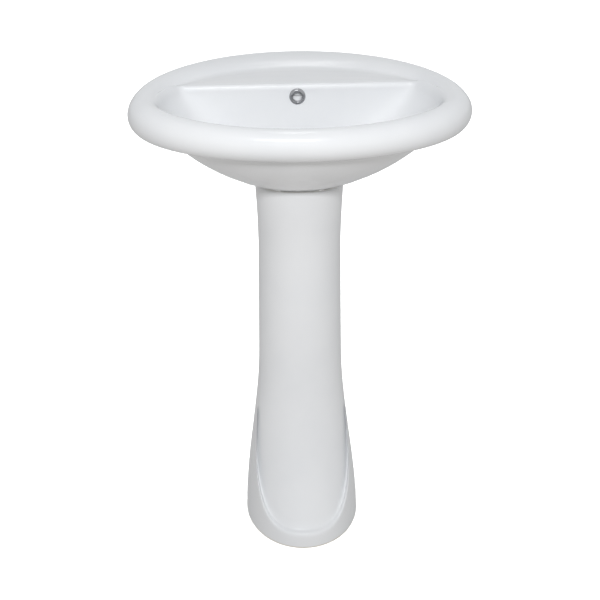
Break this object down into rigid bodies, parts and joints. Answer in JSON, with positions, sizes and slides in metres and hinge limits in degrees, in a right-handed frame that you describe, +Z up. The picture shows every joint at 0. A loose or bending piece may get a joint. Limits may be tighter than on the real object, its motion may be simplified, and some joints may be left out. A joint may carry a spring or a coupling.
{
  "type": "pedestal sink",
  "caption": "Oval china basin with a rolled rim and a recessed tap deck on a hollow flared pedestal, with a press-to-close waste, a bottle trap and a waste pipe.",
  "frame": {"origin": "on the floor, at the middle of the part's footprint box: halfway across, and halfway from the wall face to the front of the rim", "axes": "+Z up, +Y towards the wall, +X to the right of a person facing the wall"},
  "size_m": [0.56, 0.457, 0.82],
  "materials": {
    "china": "gloss",
    "bedding": "matt",
    "chrome": "polished",
    "steel": "satin",
    "brass": "satin",
    "rubber": "matt",
    "grey_plastic": "satin",
    "white_plastic": "satin"
  },
  "bodies": {
    "sink": {"basin": "china", "pedestal": "china", "seat_bedding": "bedding", "overflow_ring": "chrome", "waste_flange": "chrome", "flange_seal": "rubber", "lower_seal": "rubber", "waste_washer": "steel", "waste_locknut": "brass", "stopper_barrel": "grey_plastic", "stopper_spring": "steel", "inlet_washer": "rubber", "inlet_nut": "white_plastic", "trap_body": "white_plastic", "trap_cup_seal": "rubber", "trap_cup": "white_plastic", "outlet_washer": "rubber", "outlet_nut": "white_plastic", "waste_pipe": "white_plastic", "wall_escutcheon": "chrome"},
    "stopper": {"stopper_cap": "chrome", "stopper_seal": "rubber", "stopper_stem": "steel"}
  },
  "joints": [
    {"name": "stopper_press", "type": "slide", "parent": "sink", "child": "stopper", "axis": [0, 0, -1], "range_m": [0, 0.009], "deforming": ["stopper_spring"]}
  ]
}
